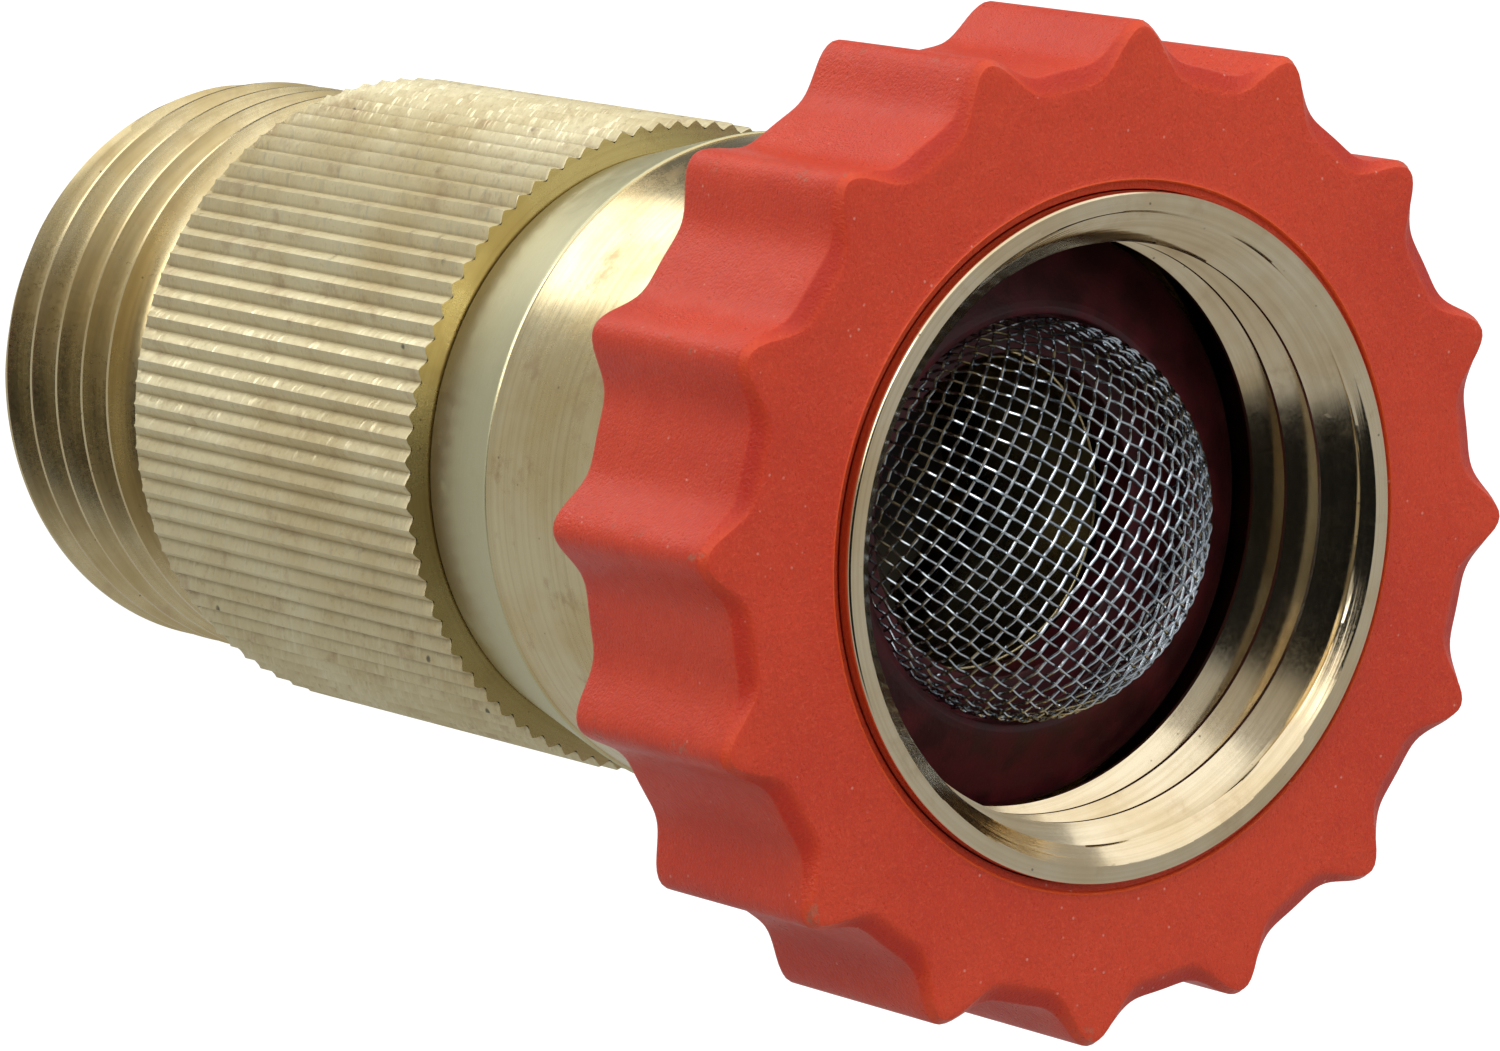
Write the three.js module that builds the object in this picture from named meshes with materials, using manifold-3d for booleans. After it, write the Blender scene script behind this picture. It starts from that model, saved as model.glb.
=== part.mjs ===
// Inline water pressure regulator for a caravan's hose inlet.
// The flow runs down the Z axis: in through the swivel nut at the top, past the seat, through the hollow
// piston and out of the threaded outlet, whose end face is z = 0. Lengths are millimetres.
import * as THREE from 'three';
import { mergeVertices } from 'three/addons/utils/BufferGeometryUtils.js';
import Module from 'manifold-3d';

const wasm = await Module();
wasm.setup();

// ---------------------------------------------------------------- driving dimensions
const SIDES = 32; // facets of a round surface that shows
const INNER_SIDES = 24; // facets of a round piece inside the body
const FIT = 0.15; // clearance between two pieces that rest on each other
const DEGREE = Math.PI / 180;
const VIEW_SIDE = 236 * DEGREE; // the side on which the thread crests are placed

// garden hose thread, 3/4-11.5
const PITCH = 25.4 / 11.5;
const MALE_CREST_R = 13.45;
const MALE_ROOT_R = 12.06;
const FEMALE_CREST_R = 12.25;
const FEMALE_ROOT_R = 13.62;
const THREAD_FLAT = 0.3; // width of the crest and root flats

// outlet body
const PORT_R = 9.3;
const PORT_DEPTH = 9;
const PISTON_BORE_R = 10.6;
const JOINT_BORE_R = 12; // takes the inlet body's spigot
const JOINT_BORE_Z = 26;
const LAST_CREST_Z = 9.1;
const THREAD_END_Z = 10.6;
const KNURL_Z0 = 13.18;
const KNURL_Z1 = 35.15;
const KNURL_R = 14.65;
const KNURL_TEETH = 90;
const KNURL_DEPTH = 0.42;
const VENT_R = 0.7;
const VENT_Z = 20.5;
const VENT_ANGLE = VIEW_SIDE - Math.PI;

// inlet body
const INLET_Z0 = KNURL_Z1 + 0.1;
const FLARE_R = 13.3;
const FLARE_TOP_Z = 41.35;
const INLET_R = 14.6;
const INLET_Z1 = 52.2;
const SPIGOT_R = 11.7;
const SPIGOT_Z = 26.4;
const SPRING_BORE_R = 9.4;
const BULKHEAD_Z0 = 33;
const BULKHEAD_Z1 = 38;
const STEM_HOLE_R = 5;
const STEM_SEAL_R = 7; // counterbore for the stem's seal
const STEM_SEAL_Z = 35.5;
const CHAMBER_R = 8.5;
const SOCKET_R = 9.8;
const SOCKET_Z = 46;
const BODY_GROOVE = { r: 10.4, z0: 28, z1: 30 };

// piston
const PISTON_Z0 = PORT_DEPTH + 0.25;
const PISTON_R = 10.3;
const HEAD_TOP_Z = 14;
const STEM_R = 4.8;
const STEM_TOP_Z = 40;
const STEM_BORE_R = 3.2;
const PISTON_GROOVE = { r: 8.9, z0: 10.6, z1: 12.6 };
const PISTON_TRAVEL = 2;

// regulator spring
const WIRE_R = 1;
const COIL_R = 7.4;
const END_TURNS = 0.75; // closed turns at each end
const ACTIVE_TURNS = 4;
const CLOSED_PITCH = 2.1;
const WASHER_T = 1.2;
const RETAINER_T = 1;
const SHIM_T = 0.5;

// seat
const SEAT_Z = STEM_TOP_Z + PISTON_TRAVEL + 0.05;
const SEAT_R = 4.6;
const SEAT_T = 1.95;
const HOLDER_R = 5.6;
const SPIDER_Z = SOCKET_Z + FIT;
const SPIDER_T = 1.15;

// swivel
const TAIL_R = 9.6;
const TAIL_BORE_R = 6.8;
const TAIL_GROOVE = { r: 8.3, z0: 49, z1: 51 };
const FLANGE_R = 11.9;
const FLANGE_Z0 = 54.9;
const FLANGE_Z1 = 56.3;
const NUT_Z0 = 52.9;
const NUT_WALL_Z = 54.6; // top of the nut's back wall
const NUT_Z1 = 66.67;
const NUT_R = 14.47;
const NUT_HOLE_R = 9.9;
const NUT_RELIEF_R = 13.1;
const NUT_THREAD_Z = 59.2;
const RIM_R = 13.75; // inner edge of the nut's flat rim
const BELT_R = 15.5; // corners of the twelve-sided belt that keys the nut to its grip
const BELT_SIDES = 12;
const BELT_Z0 = 58;
const BELT_Z1 = 63;

// grip collar
const COLLAR_Z0 = 55.54;
const COLLAR_Z1 = 66.21;
const COLLAR_BORE_R = 14.77;
const LOBES = 16;
const GRIP_R = 21.5; // over the lobes
const VALLEY_R = 19.8; // at the bottom of the flutes between them
const LOBE_SHARPNESS = 2.7; // a power: higher makes narrower lobes and wider flutes
const RECESS_R = 15.05;
const RECESS_DEPTH = 0.4;

// filter
const FILTER_Z0 = FLANGE_Z1 + 0.3;
const FILTER_R = 12.5;
const FILTER_EDGE_Z = 58.7;
const FILTER_TOP_Z = 60.35;
const SCREEN_R = 8.5;
const SCREEN_T = 0.3;
const SCREEN_SHELF_Z = 58.6;
const DOME_Z = 60.4;
const DOME_HEIGHT = 6;

// ---------------------------------------------------------------- materials
function metal(color, roughness) {
  return new THREE.MeshStandardMaterial({ color, roughness, metalness: 1 });
}

function soft(color, roughness) {
  return new THREE.MeshStandardMaterial({ color, roughness, metalness: 0 });
}

const BRASS = metal(0xc2b183, 0.3);
const STEEL = metal(0xb4b7ba, 0.3);
const ORANGE_PLASTIC = soft(0xc2442c, 0.45);
const WHITE_PLASTIC = soft(0xe6e3da, 0.4);
const MAROON_RUBBER = soft(0x3c1619, 0.6);
const BLACK_RUBBER = soft(0x18181a, 0.6);

// ---------------------------------------------------------------- solids from three.js geometry
function toSolid(geometry) {
  const bare = geometry.clone();
  bare.deleteAttribute('normal');
  bare.deleteAttribute('uv');
  const merged = mergeVertices(bare);
  const index = merged.index.array;
  const triangles = [];
  for (let i = 0; i < index.length; i += 3) {
    const [a, b, c] = [index[i], index[i + 1], index[i + 2]];
    if (a !== b && b !== c && c !== a) triangles.push(a, b, c);
  }
  return new wasm.Manifold(new wasm.Mesh({
    numProp: 3,
    vertProperties: new Float32Array(merged.attributes.position.array),
    triVerts: new Uint32Array(triangles),
  }));
}

function toGeometry(solid) {
  const mesh = solid.getMesh();
  const geometry = new THREE.BufferGeometry();
  geometry.setAttribute('position', new THREE.BufferAttribute(mesh.vertProperties, 3));
  geometry.setIndex(new THREE.BufferAttribute(mesh.triVerts, 1));
  geometry.computeVertexNormals();
  return geometry;
}

// A profile is a list of [radius, z], anticlockwise with the radius to the right; it closes on itself.
function turned(profile, sides = SIDES) {
  const points = profile.map(([r, z]) => new THREE.Vector2(r, z));
  points.push(points[0].clone());
  return toSolid(new THREE.LatheGeometry(points, sides).rotateX(Math.PI / 2));
}

function washer(r0, r1, z0, z1) {
  return turned([[r0, z0], [r1, z0], [r1, z1], [r0, z1]], INNER_SIDES);
}

function disc(r, z0, z1, sides = SIDES) {
  return turned([[0, z0], [r, z0], [r, z1], [0, z1]], sides);
}

// A turned solid whose radius also follows an outline round the axis: each row is [radius, z, share of
// the outline's height], and heightAt(angle) is that height.
function fluted(rows, sides, heightAt) {
  const bottom = rows[0][1];
  const top = rows.at(-1)[1];
  const loop = [[0, bottom, 0], ...rows, [0, top, 0], [0, bottom, 0]];
  const points = loop.map(([r, z]) => new THREE.Vector2(r, z));
  const geometry = new THREE.LatheGeometry(points, sides).rotateX(Math.PI / 2);
  const position = geometry.attributes.position;
  for (let i = 0; i < position.count; i++) {
    const [r, z, share] = loop[i % loop.length];
    const angle = (Math.floor(i / loop.length) % sides) * (2 * Math.PI / sides);
    const radius = r + share * heightAt(angle);
    position.setXYZ(i, radius * Math.sin(angle), -radius * Math.cos(angle), z);
  }
  return toSolid(geometry);
}

// A thread ridge that climbs a right-hand helix and passes height z at the given angle. It tapers into
// its base over a sixth of a turn at each end. The base lies inside the wall that carries the ridge.
function threadRidge({ baseR, crestR, z, angle, z0, z1 }) {
  const baseHalf = PITCH / 2 - 0.02;
  const crestHalf = THREAD_FLAT / 2;
  const facet = 2 * Math.PI / SIDES;
  const startFacet = Math.round((angle + (z0 - z) / PITCH * 2 * Math.PI) / facet);
  const steps = Math.round((z1 - z0) / PITCH * SIDES);
  const taper = SIDES / 6;
  const positions = [];
  for (let i = 0; i <= steps; i++) {
    const t = (startFacet + i) * facet;
    const height = z + (t - angle) / (2 * Math.PI) * PITCH;
    const rise = Math.min(1, (0.1 + i) / taper, (0.1 + steps - i) / taper);
    const crest = baseR + (crestR - baseR) * rise;
    const corners = [[baseR, -baseHalf], [crest, -crestHalf], [crest, crestHalf], [baseR, baseHalf]];
    for (const [r, dz] of corners) {
      positions.push(r * Math.cos(t), r * Math.sin(t), height + dz);
    }
  }
  const faces = [0, 1, 2, 0, 2, 3];
  for (let i = 0; i < steps; i++) {
    for (let corner = 0; corner < 4; corner++) {
      const a = 4 * i + corner;
      const b = 4 * i + (corner + 1) % 4;
      faces.push(a, a + 4, b + 4, a, b + 4, b);
    }
  }
  const last = 4 * steps;
  faces.push(last, last + 2, last + 1, last, last + 3, last + 2);
  const geometry = new THREE.BufferGeometry();
  geometry.setAttribute('position', new THREE.Float32BufferAttribute(positions, 3));
  geometry.setIndex(faces);
  return toSolid(geometry);
}

function seal(grooveR, outerR, z) {
  const clearance = 0.12;
  const sectionR = (outerR - grooveR) / 2 - clearance;
  const ring = new THREE.TorusGeometry((outerR + grooveR) / 2, sectionR, 6, INNER_SIDES);
  return toSolid(ring.translate(0, 0, z));
}

// ---------------------------------------------------------------- outlet end
function knurl() {
  const toothAt = (angle) => (Math.round(angle / Math.PI * KNURL_TEETH) % 2 ? -KNURL_DEPTH : 0);
  const chamfer = 0.45;
  const rows = [
    [KNURL_R - chamfer, KNURL_Z0, 0],
    [KNURL_R, KNURL_Z0 + chamfer, 1],
    [KNURL_R, KNURL_Z1, 1],
  ];
  return fluted(rows, 2 * KNURL_TEETH, toothAt);
}

function maleThread() {
  const ridge = threadRidge({
    baseR: MALE_ROOT_R - 0.3, crestR: MALE_CREST_R, z: LAST_CREST_Z, angle: VIEW_SIDE, z0: -1, z1: 10.1,
  });
  const leadIn = 0.25;
  const envelope = turned([
    [0, 0], [MALE_CREST_R - leadIn, 0], [MALE_CREST_R, leadIn], [MALE_CREST_R, THREAD_END_Z],
    [0, THREAD_END_Z],
  ]);
  return ridge.intersect(envelope);
}

function vent() {
  const hole = new THREE.CylinderGeometry(VENT_R, VENT_R, 8, 12);
  hole.rotateZ(Math.PI / 2).translate(KNURL_R - 1, 0, 0).rotateZ(VENT_ANGLE).translate(0, 0, VENT_Z);
  return toSolid(hole);
}

function outletBody() {
  const bore = turned([
    [0, -1], [PORT_R, -1], [PORT_R, PORT_DEPTH], [PISTON_BORE_R, PORT_DEPTH], [PISTON_BORE_R, JOINT_BORE_Z],
    [JOINT_BORE_R, JOINT_BORE_Z], [JOINT_BORE_R, KNURL_Z1 + 1], [0, KNURL_Z1 + 1],
  ]);
  const core = disc(MALE_ROOT_R, 0, KNURL_Z0 + 1);
  return core.add(maleThread()).add(knurl()).subtract(bore).subtract(vent());
}

// ---------------------------------------------------------------- inlet end
function inletBody() {
  const chamfer = 0.4;
  return turned([
    [SPRING_BORE_R, SPIGOT_Z], [SPIGOT_R, SPIGOT_Z],
    [SPIGOT_R, BODY_GROOVE.z0], [BODY_GROOVE.r, BODY_GROOVE.z0],
    [BODY_GROOVE.r, BODY_GROOVE.z1], [SPIGOT_R, BODY_GROOVE.z1],
    [SPIGOT_R, INLET_Z0], [FLARE_R, INLET_Z0], [INLET_R, FLARE_TOP_Z],
    [INLET_R, INLET_Z1 - chamfer], [INLET_R - chamfer, INLET_Z1],
    [SOCKET_R, INLET_Z1], [SOCKET_R, SOCKET_Z], [CHAMBER_R, SOCKET_Z], [CHAMBER_R, BULKHEAD_Z1],
    [STEM_HOLE_R, BULKHEAD_Z1], [STEM_HOLE_R, STEM_SEAL_Z], [STEM_SEAL_R, STEM_SEAL_Z],
    [STEM_SEAL_R, BULKHEAD_Z0], [SPRING_BORE_R, BULKHEAD_Z0],
  ]);
}

function bodySealRing() {
  return seal(BODY_GROOVE.r, JOINT_BORE_R, (BODY_GROOVE.z0 + BODY_GROOVE.z1) / 2);
}

// ---------------------------------------------------------------- piston and spring
function piston() {
  const funnelR = 6.5;
  const funnelTopZ = 12;
  const lipR = 3.9;
  return turned([
    [funnelR, PISTON_Z0], [PISTON_R, PISTON_Z0],
    [PISTON_R, PISTON_GROOVE.z0], [PISTON_GROOVE.r, PISTON_GROOVE.z0],
    [PISTON_GROOVE.r, PISTON_GROOVE.z1], [PISTON_R, PISTON_GROOVE.z1],
    [PISTON_R, HEAD_TOP_Z], [STEM_R, HEAD_TOP_Z], [STEM_R, STEM_TOP_Z - 0.8],
    [lipR, STEM_TOP_Z], [STEM_BORE_R, STEM_TOP_Z], [STEM_BORE_R, funnelTopZ],
  ], INNER_SIDES);
}

function pistonSealRing() {
  return seal(PISTON_GROOVE.r, PISTON_BORE_R, (PISTON_GROOVE.z0 + PISTON_GROOVE.z1) / 2);
}

const SPRING_WASHER_Z = HEAD_TOP_Z + FIT;
const RETAINER_Z = BULKHEAD_Z0 - FIT - RETAINER_T;
const SHIM_Z = RETAINER_Z - FIT - SHIM_T;
const SPRING_Z0 = SPRING_WASHER_Z + WASHER_T + FIT;
const SPRING_Z1 = SHIM_Z - FIT;

function springWasher() {
  return washer(5.2, 9.1, SPRING_WASHER_Z, SPRING_WASHER_Z + WASHER_T);
}

function springShim() {
  return washer(6.2, 9.1, SHIM_Z, SHIM_Z + SHIM_T);
}

function stemSealRetainer() {
  return washer(STEM_HOLE_R + 0.2, 9.1, RETAINER_Z, RETAINER_Z + RETAINER_T);
}

function stemSealRing() {
  const sectionR = (STEM_SEAL_R - STEM_R) / 2 - 0.12;
  const ringR = (STEM_SEAL_R + STEM_R) / 2;
  const z = STEM_SEAL_Z - FIT - sectionR;
  return toSolid(new THREE.TorusGeometry(ringR, sectionR, 6, INNER_SIDES).translate(0, 0, z));
}

// The wire's centre line: closed turns at both ends and open turns between them.
class SpringPath extends THREE.Curve {
  getPoint(t, target = new THREE.Vector3()) {
    const turns = 2 * END_TURNS + ACTIVE_TURNS;
    const turn = t * turns;
    const height = SPRING_Z1 - SPRING_Z0 - 2 * WIRE_R;
    const activePitch = (height - 2 * END_TURNS * CLOSED_PITCH) / ACTIVE_TURNS;
    const start = Math.min(turn, END_TURNS) * CLOSED_PITCH;
    const middle = Math.min(Math.max(turn - END_TURNS, 0), ACTIVE_TURNS) * activePitch;
    const end = Math.max(turn - END_TURNS - ACTIVE_TURNS, 0) * CLOSED_PITCH;
    const angle = 2 * Math.PI * turn;
    const z = SPRING_Z0 + WIRE_R + start + middle + end;
    return target.set(COIL_R * Math.cos(angle), COIL_R * Math.sin(angle), z);
  }
}

function regulatorSpring() {
  const section = new THREE.Shape();
  section.absarc(0, 0, WIRE_R, 0, 2 * Math.PI);
  const steps = Math.round((2 * END_TURNS + ACTIVE_TURNS) * 16);
  const options = { extrudePath: new SpringPath(), steps, curveSegments: 3 };
  return toSolid(new THREE.ExtrudeGeometry(section, options));
}

// ---------------------------------------------------------------- seat
function seatDisc() {
  return washer(1.3, SEAT_R, SEAT_Z, SEAT_Z + SEAT_T);
}

function seatHolder() {
  const top = SPIDER_Z + SPIDER_T;
  const cupFloor = SEAT_Z + SEAT_T + FIT;
  const cupR = SEAT_R + FIT;
  const screwHoleR = 1.2;
  let holder = turned([
    [screwHoleR, cupFloor], [cupR, cupFloor], [cupR, SEAT_Z + 0.55],
    [HOLDER_R, SEAT_Z + 0.55], [HOLDER_R, top], [screwHoleR, top],
  ], INNER_SIDES);
  holder = holder.add(washer(7.9, TAIL_R, SPIDER_Z, top));
  for (let leg = 0; leg < 3; leg++) {
    const bar = new THREE.BoxGeometry(4, 1.8, SPIDER_T).translate(6.8, 0, SPIDER_Z + SPIDER_T / 2);
    holder = holder.add(toSolid(bar.rotateZ(leg * 120 * DEGREE)));
  }
  return holder;
}

const SCREW_WASHER_T = 0.4;
const SCREW_WASHER_Z = SEAT_Z - FIT - SCREW_WASHER_T;

function seatScrewWasher() {
  return washer(1.2, 2.5, SCREW_WASHER_Z, SCREW_WASHER_Z + SCREW_WASHER_T);
}

function seatScrew() {
  const headR = 2.1;
  const headTop = SCREW_WASHER_Z - 0.1;
  const headBottom = headTop - 1.2;
  const shank = disc(1, headTop - 0.5, SPIDER_Z + SPIDER_T - 0.3, 18);
  const slot = new THREE.BoxGeometry(3 * headR, 0.6, 1.1).translate(0, 0, headBottom);
  return disc(headR, headBottom, headTop, 18).add(shank).subtract(toSolid(slot));
}

// ---------------------------------------------------------------- swivel and filter
function swivelTailpiece() {
  const z0 = SPIDER_Z + SPIDER_T + FIT;
  return turned([
    [TAIL_BORE_R, z0], [TAIL_R, z0], [TAIL_R, TAIL_GROOVE.z0], [TAIL_GROOVE.r, TAIL_GROOVE.z0],
    [TAIL_GROOVE.r, TAIL_GROOVE.z1], [TAIL_R, TAIL_GROOVE.z1], [TAIL_R, FLANGE_Z0], [FLANGE_R, FLANGE_Z0],
    [FLANGE_R, FLANGE_Z1], [TAIL_BORE_R, FLANGE_Z1],
  ], INNER_SIDES);
}

function tailpieceSealRing() {
  return seal(TAIL_GROOVE.r, SOCKET_R, (TAIL_GROOVE.z0 + TAIL_GROOVE.z1) / 2);
}

function swivelNut() {
  const chamfer = 0.4;
  const leadZ = NUT_Z1 - (RIM_R - FEMALE_CREST_R); // the lead-in is a 45 degree cone
  const shell = turned([
    [NUT_HOLE_R, NUT_Z0], [NUT_R - chamfer, NUT_Z0], [NUT_R, NUT_Z0 + chamfer],
    [NUT_R, NUT_Z1], [RIM_R, NUT_Z1], [FEMALE_CREST_R, leadZ],
    [FEMALE_CREST_R, NUT_THREAD_Z], [NUT_RELIEF_R, NUT_THREAD_Z],
    [NUT_RELIEF_R, NUT_WALL_Z], [NUT_HOLE_R, NUT_WALL_Z],
  ]);
  const beltHole = disc(NUT_R - 0.3, BELT_Z0 - 1, BELT_Z1 + 1);
  const belt = disc(BELT_R, BELT_Z0, BELT_Z1, BELT_SIDES).subtract(beltHole);
  const groove = threadRidge({
    baseR: FEMALE_CREST_R - 0.3, crestR: FEMALE_ROOT_R, z: 61.3, angle: VENT_ANGLE, z0: 58.8, z1: 68,
  });
  return shell.add(belt).subtract(groove);
}

function lobeHeight(angle) {
  const wave = (1 + Math.cos(LOBES * angle)) / 2;
  return (GRIP_R - VALLEY_R) * wave ** LOBE_SHARPNESS;
}

function gripCollar() {
  const rows = [
    [VALLEY_R - 0.5, COLLAR_Z0, 0.8],
    [VALLEY_R - 0.12, COLLAR_Z0 + 0.18, 0.94],
    [VALLEY_R, COLLAR_Z0 + 0.55, 1],
    [VALLEY_R, COLLAR_Z1 - 0.3, 1],
    [VALLEY_R - 0.5, COLLAR_Z1, 1],
  ];
  const body = fluted(rows, LOBES * 12, lobeHeight);
  const bore = turned([
    [0, COLLAR_Z0 - 1], [COLLAR_BORE_R, COLLAR_Z0 - 1], [COLLAR_BORE_R, COLLAR_Z1 - RECESS_DEPTH],
    [RECESS_R, COLLAR_Z1 - RECESS_DEPTH], [RECESS_R, COLLAR_Z1 + 1], [0, COLLAR_Z1 + 1],
  ]);
  const keyway = disc(BELT_R + 0.35, BELT_Z0 - 0.3, BELT_Z1 + 0.3, BELT_SIDES);
  return body.subtract(bore).subtract(keyway);
}

function filterWasher() {
  const boreR = 7.2;
  const lipR = SCREEN_R + 0.25;
  return turned([
    [boreR, FILTER_Z0], [FILTER_R, FILTER_Z0], [FILTER_R, FILTER_EDGE_Z],
    [FILTER_R - 0.3, FILTER_EDGE_Z + 0.25], [lipR + 0.25, FILTER_TOP_Z], [lipR, FILTER_TOP_Z],
    [lipR, SCREEN_SHELF_Z], [boreR, SCREEN_SHELF_Z],
  ]);
}

function filterScreen() {
  const arc = (r, height) => {
    const points = [];
    for (let i = 0; i <= 6; i++) {
      const angle = i / 6 * Math.PI / 2;
      points.push([r * Math.cos(angle), DOME_Z + height * Math.sin(angle)]);
    }
    points[6][0] = 0;
    return points;
  };
  const z0 = SCREEN_SHELF_Z + FIT;
  const inner = arc(SCREEN_R - SCREEN_T, DOME_HEIGHT - SCREEN_T).reverse();
  return turned([[SCREEN_R - SCREEN_T, z0], [SCREEN_R, z0], ...arc(SCREEN_R, DOME_HEIGHT), ...inner]);
}

// ---------------------------------------------------------------- assembly
const PIECES = [
  ['outlet_body', outletBody, BRASS],
  ['inlet_body', inletBody, BRASS],
  ['body_seal_ring', bodySealRing, BLACK_RUBBER],
  ['piston', piston, BRASS],
  ['piston_seal_ring', pistonSealRing, BLACK_RUBBER],
  ['stem_seal_ring', stemSealRing, BLACK_RUBBER],
  ['stem_seal_retainer', stemSealRetainer, STEEL],
  ['spring_shim', springShim, STEEL],
  ['regulator_spring', regulatorSpring, STEEL],
  ['spring_washer', springWasher, STEEL],
  ['seat_disc', seatDisc, BLACK_RUBBER],
  ['seat_holder', seatHolder, WHITE_PLASTIC],
  ['seat_screw', seatScrew, STEEL],
  ['seat_screw_washer', seatScrewWasher, STEEL],
  ['swivel_tailpiece', swivelTailpiece, BRASS],
  ['tailpiece_seal_ring', tailpieceSealRing, BLACK_RUBBER],
  ['swivel_nut', swivelNut, BRASS],
  ['grip_collar', gripCollar, ORANGE_PLASTIC],
  ['filter_washer', filterWasher, MAROON_RUBBER],
  ['filter_screen', filterScreen, STEEL],
];

const regulator = new THREE.Group();
for (const [name, make, material] of PIECES) {
  const mesh = new THREE.Mesh(toGeometry(make()), material);
  mesh.name = name;
  regulator.add(mesh);
}

export default regulator;
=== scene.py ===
"""Looks of an inline water pressure regulator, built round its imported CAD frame.

The flow axis is Z: the outlet's thread stands on the floor at z = 0 and the swivel nut is at the top.
Shapes are worked out in millimetres and turned into metres when a mesh is made.
"""

import math

import bmesh
import bpy
import numpy as np
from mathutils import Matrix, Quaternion, Vector


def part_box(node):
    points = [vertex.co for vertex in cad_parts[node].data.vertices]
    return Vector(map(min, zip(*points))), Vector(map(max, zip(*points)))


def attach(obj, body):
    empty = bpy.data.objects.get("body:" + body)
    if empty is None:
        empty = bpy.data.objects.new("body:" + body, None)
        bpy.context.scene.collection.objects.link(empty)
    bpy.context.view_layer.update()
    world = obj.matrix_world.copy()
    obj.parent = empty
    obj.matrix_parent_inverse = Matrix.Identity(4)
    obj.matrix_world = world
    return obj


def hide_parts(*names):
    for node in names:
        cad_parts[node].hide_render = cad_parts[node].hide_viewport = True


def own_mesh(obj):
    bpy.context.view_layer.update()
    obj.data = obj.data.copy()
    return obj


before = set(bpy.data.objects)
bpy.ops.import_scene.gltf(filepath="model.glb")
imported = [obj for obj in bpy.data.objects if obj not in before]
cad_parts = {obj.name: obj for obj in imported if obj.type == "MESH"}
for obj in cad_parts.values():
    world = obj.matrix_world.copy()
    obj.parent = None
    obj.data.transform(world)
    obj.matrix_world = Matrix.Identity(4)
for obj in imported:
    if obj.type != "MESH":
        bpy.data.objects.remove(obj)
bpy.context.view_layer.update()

MM = 0.001
TAU = 2 * math.pi


def span(node):
    """Lowest z, highest z and outer radius of a CAD node, in millimetres."""
    low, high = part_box(node)
    return low.z / MM, high.z / MM, high.x / MM


# ------------------------------------------------------------------ driving dimensions, millimetres
# hose thread, 3/4-11.5
PITCH = 25.4 / 11.5
MALE_CREST_R = 13.45
MALE_ROOT_R = 12.06
FEMALE_CREST_R = 12.25
FEMALE_ROOT_R = 13.62
THREAD_FLAT = PITCH / 12
MALE_BOW = 1.9
ROOT_FLAT = 1 / 11

# the side of the object that faces the camera
VIEW_SIDE = math.radians(236)

# outlet body
OUTLET_Z0, KNURL_Z1, KNURL_R = span("outlet_body")
PORT_R = 9.3
PORT_DEPTH = 9.0
PISTON_BORE_R = 10.6
JOINT_BORE_R = 12.0
JOINT_BORE_Z = 26.0
LAST_CREST_Z = 9.1
THREAD_END_Z = 10.6
THREAD_RUNOUT = 0.7
LEAD_IN = 0.25
KNURL_Z0 = 13.18
KNURL_TEETH = 90
KNURL_DEPTH = 0.36
KNURL_CHAMFER = 0.2
TIP_FLATNESS = 1.12

# inlet body
SPIGOT_Z, INLET_Z1, INLET_R = span("inlet_body")
FLARE_R = 13.3
FLARE_TOP_Z = 41.35
SPIGOT_R = 11.7
SPRING_BORE_R = 9.4
SPRING_BORE_TOP = 33.0
RETAINER_BORE_R = 7.0
STEM_HOLE_Z = 35.5
STEM_HOLE_R = 5.0
SEAT_BORE_Z = 38.0
SEAT_BORE_R = 8.5
TAIL_BORE_Z = 46.0
TAIL_BORE_R = 9.8

# swivel tailpiece
FLANGE_Z = 54.9
TAIL_R = 9.6
WATERWAY_R = 6.8

# swivel
NUT_Z0, NUT_Z1, _ = span("swivel_nut")
NUT_R = 14.47
RIM_R = 13.75
NUT_THREAD_Z = 59.2
NUT_GROOVE_Z = 61.3
NUT_SHOULDER_Z = 54.6
NUT_THROAT_R = 9.9
NUT_BORE_R = 13.1
COLLAR_Z0, COLLAR_Z1, COLLAR_R = span("grip_collar")
LOBES = 16
VALLEY_R = 19.8
LOBE_SHARPNESS = 2.7
COLLAR_BORE_R = 14.52

# O-ring grooves, each with its floor's radius, its bottom and its top
BODY_GROOVE = (10.4, 28.0, 30.0)
TAIL_GROOVE = (8.3, 49.0, 51.0)
PISTON_GROOVE = (8.9, 10.6, 12.6)

# regulator spring
SPRING_WIRE_R = 1.0
SPRING_COIL_R = 7.4
CLOSED_TURNS = 0.75
ACTIVE_TURNS = 4
CLOSED_PITCH = 2.1

# filter
WASHER_Z0, WASHER_Z1, WASHER_R = span("filter_washer")
SCREEN_Z0, DOME_TOP, SCREEN_R = span("filter_screen")
DOME_Z = 60.4
WIRE_PITCH = 0.7
WIRE_R = 0.068
WEAVE_ANGLE = math.radians(37)

# mesh making
WELD_GAP = 0.0005
SHARP_ANGLE = math.radians(38)
CORNER_R = 0.12


# ------------------------------------------------------------------ meshes
def rounded(profile, radius, steps=3):
    """The profile's corners cut back to arcs of that radius, or less where a side is short. Each arc
    has a point close by on either side, so that smooth shading bends at the corner alone."""
    points = [np.array(p, float) for p in profile]
    made = []
    for i, corner in enumerate(points):
        before, after = points[i - 1], points[(i + 1) % len(points)]
        a, b = before - corner, after - corner
        la, lb = np.linalg.norm(a), np.linalg.norm(b)
        a, b = a / la, b / lb
        half = math.acos(np.clip(a @ b, -1, 1)) / 2
        back = min(radius, radius / math.tan(half) + 0.02, 0.3 * la, 0.3 * lb)
        start, end = corner + a * back, corner + b * back
        made.append(corner + a * back * 1.4)
        for k in range(steps + 1):
            t = k / steps
            made.append((1 - t) ** 2 * start + 2 * t * (1 - t) * corner + t * t * end)
        made.append(corner + b * back * 1.4)
    return made


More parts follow.
